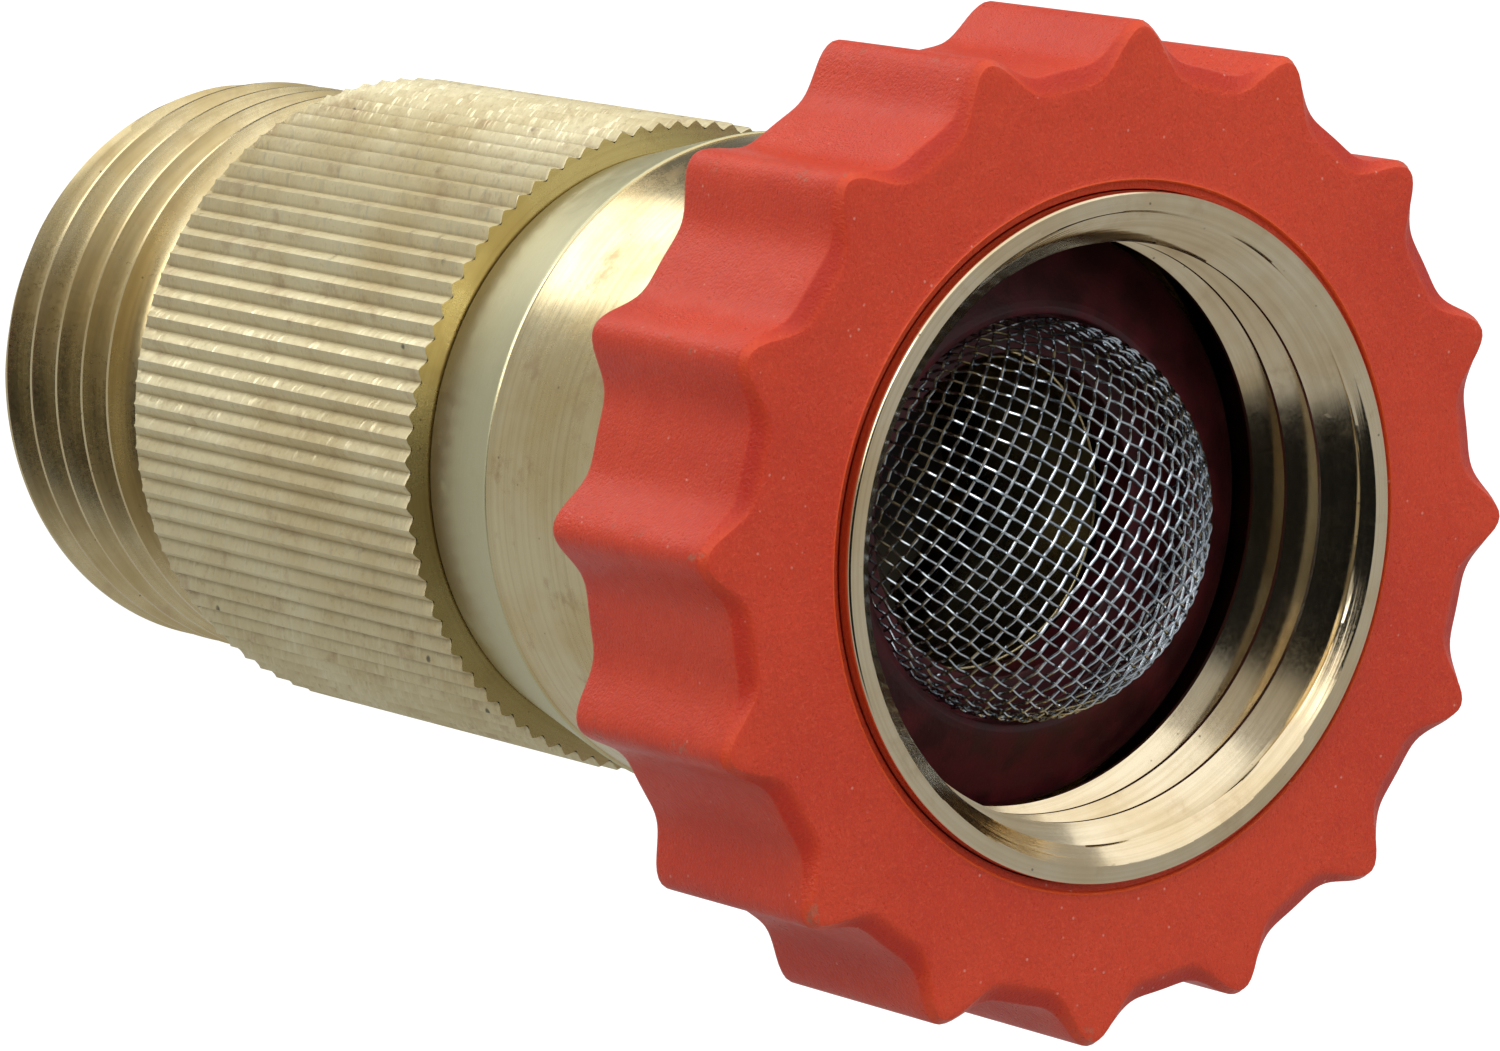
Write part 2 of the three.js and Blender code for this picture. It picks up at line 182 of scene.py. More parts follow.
def split_path(points, longest):
    """The open path with its long sides cut into pieces no longer than that."""
    made = []
    for p, q in zip(points, points[1:]):
        count = max(1, math.ceil(math.dist(p, q) / longest))
        made += [np.add(p, np.subtract(q, p) * k / count) for k in range(count)]
    return made + [np.array(points[-1], float)]


def split(profile, longest):
    """The closed profile with its long sides cut the same way."""
    return split_path(list(profile) + [profile[0]], longest)[:-1]


def weld(mesh):
    """Joins points that lie together, such as the two ends of a ring."""
    shape = bmesh.new()
    shape.from_mesh(mesh)
    bmesh.ops.remove_doubles(shape, verts=shape.verts, dist=WELD_GAP * MM)
    shape.to_mesh(mesh)
    shape.free()


def mesh_object(name, points, faces, body, material, node, values=None):
    """A smooth-shaded mesh that rides on a body and stands for a CAD node. values are named numbers
    per point that its material reads."""
    mesh = bpy.data.meshes.new(name)
    mesh.from_pydata((np.asarray(points) * MM).tolist(), [], faces)
    for label, numbers in (values or {}).items():
        attribute = mesh.attributes.new(label, "FLOAT", "POINT")
        attribute.data.foreach_set("value", np.asarray(numbers, np.float32).ravel())
    weld(mesh)
    mesh.polygons.foreach_set("use_smooth", [True] * len(mesh.polygons))
    mesh.set_sharp_from_angle(angle=SHARP_ANGLE)
    mesh.materials.append(material)
    piece = bpy.data.objects.new(name, mesh)
    bpy.context.scene.collection.objects.link(piece)
    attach(piece, body)
    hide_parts(node)
    return piece


def grid_faces(rows, columns, closed=True):
    """Quads between rows of points round the axis; closed joins the last row to the first."""
    faces = []
    for i in range(rows if closed else rows - 1):
        a, b = i * columns, (i + 1) % rows * columns
        for j in range(columns):
            k = (j + 1) % columns
            faces.append((a + j, a + k, b + k, b + j))
    return faces


def turned(profile, columns, radius_at=None):
    """Points and faces of a closed profile of (radius, z), anticlockwise, turned round the axis.
    radius_at(r, z, angle) may change the radius of each point."""
    profile = np.array(profile, float)
    angle = np.arange(columns) * TAU / columns
    r = np.repeat(profile[:, :1], columns, 1)
    z = np.repeat(profile[:, 1:], columns, 1)
    angle = np.repeat(angle[None, :], len(profile), 0)
    if radius_at:
        r = radius_at(r, z, angle)
    points = np.stack([r * np.cos(angle), r * np.sin(angle), z], -1).reshape(-1, 3)
    return points, grid_faces(len(profile), columns)


def thread_rings(low, high, crest_z):
    """Heights, on the X axis, of rings that climb with the thread from low to high, with one ring on
    the middle of each crest."""
    step = THREAD_FLAT / 2
    crest = crest_z - PITCH * VIEW_SIDE / TAU
    start = crest - step * math.ceil((crest - low + PITCH) / step)
    return np.arange(start, high + 2 * step, step)


def threaded(profile, on_thread, low, high, columns, radius_at):
    """Points and faces of a closed profile turned round the axis, of which the rows that on_thread
    marks climb with the thread's helix, kept between low and high."""
    profile = np.array(profile, float)
    rise = np.array(on_thread, float)[:, None]
    angle = np.linspace(0, TAU, columns + 1)[None, :]
    z = profile[:, 1:] + rise * PITCH * angle / TAU
    z = np.where(rise > 0, np.clip(z, low, high), z)
    angle = np.repeat(angle, len(profile), 0)
    r = radius_at(np.repeat(profile[:, :1], columns + 1, 1), z, angle)
    points = np.stack([r * np.cos(angle), r * np.sin(angle), z], -1).reshape(-1, 3)
    faces = []
    for i in range(len(profile)):
        a, b = i * (columns + 1), (i + 1) % len(profile) * (columns + 1)
        faces += [(a + j, a + j + 1, b + j + 1, b + j) for j in range(columns)]
    return points, faces


def closed_on_axis(profile, columns):
    """Points and faces of an open profile whose first and last points lie on the axis."""
    inner = profile[1:-1]
    points, _ = turned(inner, columns)
    faces = grid_faces(len(inner), columns, closed=False)
    first, last = len(points), len(points) + 1
    points = np.vstack([points, [[0, 0, profile[0][1]], [0, 0, profile[-1][1]]]])
    top = (len(inner) - 1) * columns
    for j in range(columns):
        k = (j + 1) % columns
        faces.append((first, k, j))
        faces.append((last, top + j, top + k))
    return points, faces


def thread_share(z, angle, crest_z, bow=1.0):
    """1 on the narrow crest of a right-hand thread that passes crest_z on the view side, falling to 0
    in its root. A bow over 1 hollows the flanks."""
    turn = (z - crest_z) / PITCH - (angle - VIEW_SIDE) / TAU
    away = np.abs(turn - np.round(turn)) * PITCH
    flank = (PITCH - THREAD_FLAT) / 2
    drop = np.clip((away - THREAD_FLAT / 2) / flank, 0, 1)
    return (1 - drop) ** bow


# ------------------------------------------------------------------ materials
class Shader:
    """A material's node tree, built from the Principled shader back."""

    def __init__(self, name, metallic):
        self.material = bpy.data.materials.new(name)
        self.material.use_nodes = True
        self.tree = self.material.node_tree
        self.principled = self.tree.nodes["Principled BSDF"]
        self.principled.inputs["Metallic"].default_value = metallic
        self.principled.inputs["IOR"].default_value = 1.5
        self.position = self.scaled_position()

    def add(self, kind, **settings):
        made = self.tree.nodes.new(kind)
        for key, value in settings.items():
            setattr(made, key, value)
        return made

    def feed(self, socket, value):
        if isinstance(value, bpy.types.NodeSocket):
            self.tree.links.new(value, socket)
        else:
            socket.default_value = value

    def scaled_position(self):
        """The point in the object's own frame, in millimetres."""
        coordinate = self.add("ShaderNodeTexCoord")
        scaled = self.add("ShaderNodeVectorMath", operation="SCALE")
        self.feed(scaled.inputs[0], coordinate.outputs["Object"])
        scaled.inputs["Scale"].default_value = 1 / MM
        return scaled.outputs[0]

    def math(self, operation, a, b=0.0):
        made = self.add("ShaderNodeMath", operation=operation)
        self.feed(made.inputs[0], a)
        self.feed(made.inputs[1], b)
        return made.outputs[0]

    def ring_position(self, radial, axial, around):
        """A point whose first number follows the radius, its second z and its third the angle."""
        parts = self.add("ShaderNodeSeparateXYZ")
        self.feed(parts.inputs[0], self.position)
        x, y, z = parts.outputs
        squares = self.math("ADD", self.math("MULTIPLY", x, x), self.math("MULTIPLY", y, y))
        radius = self.math("SQRT", squares)
        angle = self.math("ARCTAN2", y, x)
        joined = self.add("ShaderNodeCombineXYZ")
        self.feed(joined.inputs[0], self.math("MULTIPLY", radius, radial))
        self.feed(joined.inputs[1], self.math("MULTIPLY", z, axial))
        self.feed(joined.inputs[2], self.math("MULTIPLY", angle, around))
        return joined.outputs[0]

    def moved(self, vector, offset):
        """The point moved by the same amount along each axis, so that two patterns differ."""
        made = self.add("ShaderNodeVectorMath", operation="ADD")
        self.feed(made.inputs[0], vector)
        made.inputs[1].default_value = (offset, offset, offset)
        return made.outputs[0]

    def noise(self, scale, detail=3.0, roughness=0.55, vector=None, offset=0.0):
        """Noise with that many waves to the millimetre, from 0 to 1."""
        made = self.add("ShaderNodeTexNoise")
        self.feed(made.inputs["Vector"], self.moved(vector or self.position, offset))
        made.inputs["Scale"].default_value = scale
        made.inputs["Detail"].default_value = detail
        made.inputs["Roughness"].default_value = roughness
        return made.outputs["Fac"]

    def cells(self, scale, offset=0.0):
        """Distance to the nearest of scattered points, that many to the millimetre."""
        made = self.add("ShaderNodeTexVoronoi")
        self.feed(made.inputs["Vector"], self.moved(self.position, offset))
        made.inputs["Scale"].default_value = scale
        return made.outputs["Distance"]

    def between(self, value, low, high, start=0.0, end=1.0):
        """value's part from low to high, stretched to run from start to end."""
        made = self.add("ShaderNodeMapRange")
        made.interpolation_type = "SMOOTHSTEP"
        for socket, number in zip(made.inputs, (value, low, high, start, end)):
            self.feed(socket, number)
        return made.outputs[0]

    def mix(self, share, a, b):
        made = self.add("ShaderNodeMix", data_type="RGBA")
        self.feed(made.inputs["Factor"], share)
        self.feed(made.inputs[6], a)
        self.feed(made.inputs[7], b)
        return made.outputs[2]

    def attribute(self, name):
        return self.add("ShaderNodeAttribute", attribute_name=name).outputs["Fac"]

    def bump(self, height, depth, below=None):
        """Bump of that many millimetres, on top of another bump."""
        made = self.add("ShaderNodeBump")
        self.feed(made.inputs["Height"], height)
        made.inputs["Distance"].default_value = depth * MM
        if below:
            self.feed(made.inputs["Normal"], below)
        return made.outputs["Normal"]

    def finish(self, colour, roughness, normal=None):
        self.feed(self.principled.inputs["Base Color"], colour)
        self.feed(self.principled.inputs["Roughness"], roughness)
        if normal:
            self.feed(self.principled.inputs["Normal"], normal)
        return self.material


def srgb(red, green, blue):
    """Screen colour, 0 to 255, as the linear colour that shaders use."""
    def linear(value):
        value /= 255
        return value / 12.92 if value <= 0.04045 else ((value + 0.055) / 1.055) ** 2.4
    return (linear(red), linear(green), linear(blue), 1.0)


def turned_brass(name, pale, warm, tool_marks, wear, roughness):
    """Turned brass: rings from the lathe tool, dulled patches, stains, and painted shade darkening the
    hollows.
    Points marked matt are paler and duller, and those marked tooled have deeper rings."""
    s = Shader(name, metallic=1.0)
    rings = s.noise(1.0, 2.0, 0.6, s.ring_position(4.5, 4.5, 0.3))
    fine_rings = s.noise(1.0, 1.0, 0.5, s.ring_position(13.0, 13.0, 0.6), offset=7.0)
    patches = s.noise(0.16, 4.0, 0.6)
    stains = s.noise(0.42, 5.0, 0.65, offset=31.0)
    specks = s.between(s.cells(0.9, 14.0), 0.03, 0.07, 1, 0)
    grain = s.noise(6.0, 3.0, 0.7)
    matt = s.attribute("matt")
    colour = s.mix(s.between(patches, 0.35, 0.7), pale, warm)
    colour = s.mix(s.between(stains, 0.54, 0.74, 0, 0.7 * wear), colour, srgb(176, 143, 106))
    colour = s.mix(s.between(rings, 0.35, 0.75, 0, 0.25), colour, srgb(158, 134, 88))
    colour = s.mix(s.math("MULTIPLY", specks, 0.6), colour, srgb(70, 62, 48))
    # painted shade: the hollow attribute darkens the colour in the thread roots, knurl grooves and the
    # knurl's end face
    colour = s.mix(s.between(s.attribute("hollow"), 0.45, 1.0, 0, 0.6), colour, srgb(118, 102, 62))
    colour = s.mix(s.math("MULTIPLY", matt, 0.8), colour, srgb(208, 206, 168))
    dulled = s.between(patches, 0.3, 0.75, roughness, roughness * 1.5)
    rough = s.math("ADD", dulled, s.between(grain, 0.3, 0.7, -0.02, 0.04))
    rough = s.math("ADD", rough, s.between(stains, 0.5, 0.75, 0, 0.14 * wear))
    rough = s.math("ADD", rough, s.math("MULTIPLY", matt, 0.18))
    normal = s.bump(rings, 0.010 * tool_marks)
    normal = s.bump(fine_rings, 0.003 * tool_marks, normal)
    normal = s.bump(s.math("MULTIPLY", s.attribute("tooled"), rings), 0.008, normal)
    normal = s.bump(s.noise(0.7, 2.0, 0.5, offset=3.0), 0.010 * wear, normal)
    return s.finish(colour, rough, normal)


def knurled_brass():
    """Cut knurl: pale ridges crossed by fine tool chatter, with painted shade darkening the grooves."""
    s = Shader("knurled_brass", metallic=1.0)
    hollow = s.attribute("hollow")
    patches = s.noise(0.14, 4.0, 0.6, offset=12.0)
    stains = s.noise(0.5, 5.0, 0.65, offset=5.0)
    grain = s.noise(2.6, 3.0, 0.6)
    chatter = s.noise(1.0, 1.5, 0.5, s.ring_position(1.0, 5.0, 9.0), offset=2.0)
    pits = s.between(s.cells(0.45, 23.0), 0.05, 0.10, 1, 0)
    pits = s.math("MULTIPLY", pits, s.between(s.noise(0.2, 2.0, 0.5, offset=61.0), 0.54, 0.6))
    colour = s.mix(s.between(patches, 0.35, 0.7), srgb(230, 220, 184), srgb(215, 200, 158))
    colour = s.mix(s.between(stains, 0.52, 0.72, 0, 0.5), colour, srgb(186, 160, 124))
    colour = s.mix(s.between(grain, 0.55, 0.8, 0, 0.3), colour, srgb(160, 140, 104))
    # painted shade: darker colour down in the knurl's grooves
    colour = s.mix(s.between(hollow, 0.6, 1.0, 0, 0.3), colour, srgb(128, 110, 76))
    colour = s.mix(s.math("MULTIPLY", pits, 0.75), colour, srgb(72, 72, 66))
    dulled = s.between(patches, 0.3, 0.75, 0.58, 0.66)
    rough = s.math("ADD", dulled, s.between(grain, 0.3, 0.7, -0.04, 0.06))
    rough = s.math("SUBTRACT", rough, s.between(chatter, 0.55, 0.72, 0, 0.26))
    normal = s.bump(chatter, 0.05)
    normal = s.bump(grain, 0.014, normal)
    return s.finish(colour, rough, normal)


def grip_plastic():
    """Red-orange moulded plastic: satin grain, pale flecks, deep red bevels, a painted orange glow on
    thin edges, and scuffs on the lobes' tips."""
    s = Shader("grip_plastic", metallic=0.0)
    flow = s.noise(0.11, 3.0, 0.55)
    mottle = s.noise(1.4, 4.0, 0.6, offset=9.0)
    grain = s.noise(7.0, 3.0, 0.65)
    colour = s.mix(s.between(flow, 0.3, 0.7), srgb(216, 69, 36), srgb(206, 60, 32))
    colour = s.mix(s.between(mottle, 0.45, 0.8, 0, 0.3), colour, srgb(190, 54, 34))
    colour = s.mix(s.between(grain, 0.52, 0.72, 0, 0.35), colour, srgb(234, 104, 70))
    colour = s.mix(s.between(grain, 0.48, 0.3, 0, 0.3), colour, srgb(176, 46, 30))
    colour = s.mix(s.between(s.attribute("bevel"), 0.1, 0.8, 0, 0.8), colour, srgb(180, 30, 18))
    # painted glow: lobe-tip edges, the moulding lip, rear edges and front rim coloured bright orange as if
    # lit through
    colour = s.mix(s.between(s.attribute("edge"), 0.2, 1.0, 0, 0.85), colour, srgb(240, 92, 34))
    flecks = s.between(s.cells(1.2, 4.0), 0.05, 0.10, 1, 0)
    flecks = s.math("MULTIPLY", flecks, s.between(s.noise(0.7, 2.0, 0.5, offset=50.0), 0.46, 0.56))
    colour = s.mix(s.math("MULTIPLY", flecks, 0.4), colour, srgb(240, 186, 170))
    worn = s.between(s.noise(0.9, 5.0, 0.7), 0.6, 0.68)
    scuffs = s.math("MULTIPLY", s.between(s.attribute("tip"), 0.75, 1.0), worn)
    colour = s.mix(s.math("MULTIPLY", scuffs, 0.6), colour, srgb(168, 112, 88))
    dulled = s.between(mottle, 0.3, 0.7, 0.34, 0.44)
    rough = s.math("ADD", dulled, s.between(grain, 0.3, 0.7, -0.1, 0.05))
    s.principled.inputs["Specular IOR Level"].default_value = 0.32
    s.principled.inputs["Subsurface Weight"].default_value = 0.15
    s.principled.inputs["Subsurface Radius"].default_value = (1.0, 0.25, 0.10)
    s.principled.inputs["Subsurface Scale"].default_value = 1.2 * MM
    normal = s.bump(grain, 0.07)
    normal = s.bump(mottle, 0.03, normal)
    normal = s.bump(s.noise(0.35, 2.0, 0.5, offset=21.0), 0.10, normal)
    return s.finish(colour, rough, normal)


def moulded_rubber(name, light, dark):
    """Moulded rubber with a dusty bloom and a fine grain."""
    s = Shader(name, metallic=0.0)
    bloom = s.noise(0.5, 4.0, 0.6)
    grain = s.noise(5.0, 3.0, 0.6)
    colour = s.mix(s.between(bloom, 0.35, 0.7), dark, light)
    rough = s.between(bloom, 0.3, 0.7, 0.42, 0.6)
    normal = s.bump(grain, 0.02)
    return s.finish(colour, rough, normal)


def drawn_steel(name, colour_low, colour_high):
    """Drawn stainless steel with fine streaks and slight dulling."""
    s = Shader(name, metallic=1.0)
    streaks = s.noise(4.0, 3.0, 0.6)
    patches = s.noise(0.8, 3.0, 0.6, offset=6.0)
    colour = s.mix(s.between(patches, 0.3, 0.7), colour_low, colour_high)
    rough = s.between(streaks, 0.3, 0.7, 0.12, 0.24)
    return s.finish(colour, rough, s.bump(streaks, 0.004))


def black_acetal():
    """Black moulded acetal with a slight sheen."""
    s = Shader("black_acetal", metallic=0.0)
    cloud = s.noise(0.6, 3.0, 0.6)
    colour = s.mix(s.between(cloud, 0.3, 0.7), srgb(34, 34, 36), srgb(46, 46, 48))
    return s.finish(colour, s.between(cloud, 0.3, 0.7, 0.3, 0.42), s.bump(s.noise(5.0), 0.01))


BRASS = turned_brass("turned_brass", srgb(225, 211, 168), srgb(211, 188, 134),
                     tool_marks=0.35, wear=1.0, roughness=0.18)
THREAD_BRASS = turned_brass("threaded_brass", srgb(226, 210, 166), srgb(212, 190, 138),
                            tool_marks=0.25, wear=0.4, roughness=0.22)
NUT_BRASS = turned_brass("nut_brass", srgb(226, 211, 180), srgb(212, 191, 152),
                         tool_marks=0.12, wear=0.5, roughness=0.11)
KNURL = knurled_brass()
PLASTIC = grip_plastic()
MAROON = moulded_rubber("maroon_rubber", srgb(92, 22, 30), srgb(58, 11, 18))
BLACK = moulded_rubber("black_rubber", srgb(44, 44, 46), srgb(26, 26, 28))
SCREEN_STEEL = drawn_steel("screen_steel", srgb(166, 176, 184), srgb(206, 214, 220))
SPRING_STEEL = drawn_steel("spring_steel", srgb(172, 174, 178), srgb(206, 208, 210))
ACETAL = black_acetal()


# ------------------------------------------------------------------ outlet body
def tooth(angle):
    """Height of the knurl's ridges, 1 on their slightly flat tips and 0 in a groove."""
    turn = angle / TAU * KNURL_TEETH
    away = 2 * np.abs(turn - np.round(turn))
    return np.minimum((1 - away) * TIP_FLATNESS, 1)


def outlet_radius(r, z, angle):
    """The outlet's own radius, with the thread's crests or the knurl's teeth added where they are."""
    tallest = np.minimum(MALE_CREST_R, MALE_CREST_R - LEAD_IN + z - OUTLET_Z0)
    runout = np.clip((THREAD_END_Z - z) / THREAD_RUNOUT, 0, 1)
    share = thread_share(z, angle, LAST_CREST_Z, MALE_BOW) * runout
    ridge = np.minimum(MALE_ROOT_R + (MALE_CREST_R - MALE_ROOT_R) * share, tallest)
    on_thread = (z <= THREAD_END_Z) & (r == MALE_ROOT_R)
    r = np.where(on_thread, ridge, r)
    toothed = (r > KNURL_R - KNURL_CHAMFER - 0.01) & (z >= KNURL_Z0)
    depth = KNURL_DEPTH * np.clip((z - KNURL_Z0) / KNURL_CHAMFER, 0, 1)
    return np.where(toothed, r - depth * (1 - tooth(angle)), r)


def outlet_body():
    """Threaded outlet, undercut and knurled barrel, in one piece, with the bores inside."""
    broken_edge = 0.08
    end_face_r = MALE_ROOT_R - 0.3
    # painted shade: how strongly the thread roots and the knurl's end face are darkened
    thread_shade_strength, knurl_end_shade = 0.7, 0.75
    rings = [(MALE_ROOT_R, z) for z in thread_rings(OUTLET_Z0, THREAD_END_Z, LAST_CREST_Z)]
    above = split_path([
        (MALE_ROOT_R, THREAD_END_Z + 0.01), (MALE_ROOT_R, KNURL_Z0),
        (KNURL_R - KNURL_CHAMFER, KNURL_Z0), (KNURL_R, KNURL_Z0 + KNURL_CHAMFER),
        (KNURL_R, KNURL_Z1 - broken_edge), (KNURL_R - broken_edge * 0.75, KNURL_Z1),
        (KNURL_R - KNURL_DEPTH, KNURL_Z1), (JOINT_BORE_R, KNURL_Z1),
        (JOINT_BORE_R, JOINT_BORE_Z), (PISTON_BORE_R, JOINT_BORE_Z), (PISTON_BORE_R, PORT_DEPTH),
        (PORT_R, PORT_DEPTH), (PORT_R, OUTLET_Z0), (end_face_r, OUTLET_Z0),
    ], 1.0)
    climbs = [1] * len(rings) + [0] * len(above)
    columns = KNURL_TEETH * 6
    points, faces = threaded(rings + above, climbs, OUTLET_Z0, THREAD_END_Z, columns, outlet_radius)
    r = np.hypot(points[:, 0], points[:, 1])
    z = points[:, 2]
    # painted shadow on the knurl's end face, in the shade of the inlet half's flare
    knurl_end = np.abs(z - KNURL_Z1) < 0.01
    # painted shade in the knurl's grooves and the thread's roots, deepest at the bottom of each
    knurl_groove_shade = np.clip((KNURL_R - r) / KNURL_DEPTH, 0, 1) * (r > KNURL_R - KNURL_DEPTH - 0.05)
    thread_root_shade = np.clip((MALE_CREST_R - r) / (MALE_CREST_R - MALE_ROOT_R), 0, 1) * thread_shade_strength
    hollow = np.where(z > KNURL_Z0, knurl_groove_shade, thread_root_shade) * (r > MALE_ROOT_R - 0.1)
    made = mesh_object("outlet_body_shell", points, faces, "housing", THREAD_BRASS, "outlet_body",
                       {"hollow": np.where(knurl_end, knurl_end_shade, hollow)})
    made.data.materials.append(KNURL)
    for face in made.data.polygons:
        x, y, z = face.center / MM
        if KNURL_Z0 < z < KNURL_Z1 - 0.01 and math.hypot(x, y) > KNURL_R - 0.5:
            face.material_index = 1


# ------------------------------------------------------------------ inlet body
def inlet_body():
    """Smooth-turned inlet half with a duller flare below and its bulkhead inside."""
    floor, low, high = BODY_GROOVE
    gap = 0.06
    profile = [
        (SPRING_BORE_R, SPIGOT_Z), (SPIGOT_R, SPIGOT_Z), (SPIGOT_R, low), (floor, low), (floor, high),
        (SPIGOT_R, high), (SPIGOT_R, KNURL_Z1 + gap), (FLARE_R, KNURL_Z1 + gap),
        (INLET_R + 0.1, FLARE_TOP_Z - 0.06), (INLET_R, FLARE_TOP_Z + 0.06), (INLET_R, INLET_Z1),
        (TAIL_BORE_R, INLET_Z1), (TAIL_BORE_R, TAIL_BORE_Z), (SEAT_BORE_R, TAIL_BORE_Z),
        (SEAT_BORE_R, SEAT_BORE_Z), (STEM_HOLE_R, SEAT_BORE_Z), (STEM_HOLE_R, STEM_HOLE_Z),
        (RETAINER_BORE_R, STEM_HOLE_Z), (RETAINER_BORE_R, SPRING_BORE_TOP),
        (SPRING_BORE_R, SPRING_BORE_TOP),
    ]
    points, faces = turned(split(rounded(profile, CORNER_R), 1.5), 240)
    r = np.hypot(points[:, 0], points[:, 1])
    cone = (r > FLARE_R - 0.1) & (points[:, 2] < FLARE_TOP_Z)
    mesh_object("inlet_body_shell", points, faces, "housing", BRASS, "inlet_body",
                {"matt": cone.astype(float)})


# ------------------------------------------------------------------ swivel nut and grip
def nut_radius(r, z, angle):
    """The nut's own radius, with the female thread's grooves cut into its mouth."""
    groove = thread_share(z, angle + math.pi, NUT_GROOVE_Z)
    groove = np.clip((groove - ROOT_FLAT) / (1 - ROOT_FLAT), 0, 1)
    grooved = FEMALE_CREST_R + (FEMALE_ROOT_R - FEMALE_CREST_R) * groove
    lead_in = np.maximum(RIM_R - (NUT_Z1 - z), FEMALE_CREST_R)
    return np.where(r == FEMALE_CREST_R, np.maximum(lead_in, grooved), r)


def swivel_nut():
    """Brass nut with a cone at its mouth and the female hose thread inside."""
    chamfer = 0.4
    cone_depth = 1.4
    # painted shade: how strongly the thread's roots inside the nut are darkened
    thread_shade_strength = 0.8
    before = split_path([
        (NUT_BORE_R, NUT_THREAD_Z), (NUT_BORE_R, NUT_SHOULDER_Z), (NUT_THROAT_R, NUT_SHOULDER_Z),
        (NUT_THROAT_R, NUT_Z0), (NUT_R - chamfer, NUT_Z0), (NUT_R, NUT_Z0 + chamfer),
        (NUT_R, NUT_Z1 - 0.12), (NUT_R - 0.04, NUT_Z1 - 0.04), (NUT_R - 0.12, NUT_Z1),
        (RIM_R + 0.1, NUT_Z1), (RIM_R + 0.03, NUT_Z1 - 0.02),
    ], 1.0)
    rings = [(FEMALE_CREST_R, z) for z in thread_rings(NUT_THREAD_Z, NUT_Z1, NUT_GROOVE_Z + PITCH / 2)]
    climbs = [0] * len(before) + [1] * len(rings)
    points, faces = threaded(before + rings[::-1], climbs, NUT_THREAD_Z, NUT_Z1 - 0.03, 360, nut_radius)
    r = np.hypot(points[:, 0], points[:, 1])
    z = points[:, 2]
    # painted shade, deepest in the thread's roots below the mouth
    inside = (z < NUT_Z1 - 1) & (r < NUT_R - 0.2)
    depth = np.clip((r - FEMALE_CREST_R) / (FEMALE_ROOT_R - FEMALE_CREST_R), 0, 1)
    hollow = inside * depth * thread_shade_strength
    tooled = (z > NUT_Z1 - cone_depth) & (z < NUT_Z1 - 0.05)
    mesh_object("swivel_nut_shell", points, faces, "swivel", NUT_BRASS, "swivel_nut",
                {"hollow": hollow, "tooled": tooled.astype(float)})


def lobe(angle):
    """How far the grip's lobes stand out from the bottom of its flutes."""
    return (COLLAR_R - VALLEY_R) * ((1 + np.cos(LOBES * angle)) / 2) ** LOBE_SHARPNESS


def grip_collar():
    """Lobed grip with soft rear edges, front bevels that run out at the lobes, and a sunk ring with a
    thin moulding lip round the nut. A row holds a radius, a height and its share of the lobes."""
    rear = 0.5
    bevel = 0.85
    lip_r = 14.88
    rows = [
        (COLLAR_BORE_R, COLLAR_Z0, 0), (15.6, COLLAR_Z0, 0),
        (17.0, COLLAR_Z0, 0.3), (18.3, COLLAR_Z0, 0.7),
    ]
    for k in range(7):
        t = k / 6 * math.pi / 2
        share = 0.84 + 0.16 * math.sin(t)
        rows.append((VALLEY_R - rear * (1 - math.sin(t)), COLLAR_Z0 + rear * (1 - math.cos(t)), share))
    side = COLLAR_Z1 - 0.45 - COLLAR_Z0 - rear
    rows += [(VALLEY_R, COLLAR_Z0 + rear + side * k / 9, 1) for k in range(1, 10)]
    rows += [
        (VALLEY_R - 0.02, COLLAR_Z1 - 0.4, 1), (VALLEY_R - 0.08, COLLAR_Z1 - 0.34, 1.01),
        (VALLEY_R - bevel + 0.1, COLLAR_Z1 - 0.06, 1.3), (VALLEY_R - bevel + 0.02, COLLAR_Z1 - 0.02, 1.34),
        (VALLEY_R - bevel - 0.08, COLLAR_Z1, 1.36), (VALLEY_R - bevel - 0.3, COLLAR_Z1, 1.3),
        (18.0, COLLAR_Z1, 0.7), (17.2, COLLAR_Z1, 0.2), (16.4, COLLAR_Z1, 0), (lip_r + 0.3, COLLAR_Z1, 0),
        (lip_r + 0.12, COLLAR_Z1 + 0.02, 0), (lip_r + 0.06, COLLAR_Z1 + 0.07, 0),
        (lip_r, COLLAR_Z1 + 0.02, 0), (lip_r - 0.04, COLLAR_Z1 - 0.15, 0),
        (lip_r - 0.12, COLLAR_Z1 - 0.2, 0), (14.65, COLLAR_Z1 - 0.2, 0),
        (COLLAR_BORE_R, COLLAR_Z1 - 0.25, 0),
    ]
    shares = np.array([share for _, _, share in rows])[:, None]

    def radius_at(r, z, angle):
        return r + shares * lobe(angle)

    points, faces = turned([row[:2] for row in rows], LOBES * 32, radius_at)
    z = points[:, 2]
    r = np.hypot(points[:, 0], points[:, 1])
    angle = np.arctan2(points[:, 1], points[:, 0])
    tip = np.clip(lobe(angle) / (COLLAR_R - VALLEY_R), 0, 1)
    front = np.clip(1 - np.abs(z - COLLAR_Z1 + 0.2) / 0.3, 0, 1) * (r > VALLEY_R - bevel)
    # painted glow along the moulding lip round the nut
    lip = np.clip(1 - np.abs(r - lip_r - 0.04) / 0.12, 0, 1) * (z > COLLAR_Z1 - 0.05)
    # painted glow on the thin rear edges of the lobes
    thin = np.clip(1 - (z - COLLAR_Z0) / 0.8, 0, 1) * (r > VALLEY_R - rear) * 0.5
    # painted glow along the front rim
    front_rim_glow = (np.abs(z - COLLAR_Z1 + 0.04) < 0.03) * (r > VALLEY_R - bevel - 0.1) * 0.45
    values = {
        "bevel": front * (1 - tip),
        # edge: painted orange glow on the lobe tips' front, the lip, the rear edges and the rim
        "edge": np.max([front * tip, lip, thin, front_rim_glow], axis=0),
        "tip": tip * (r > VALLEY_R),
    }
    mesh_object("grip_collar_shell", points, faces, "swivel", PLASTIC, "grip_collar", values)


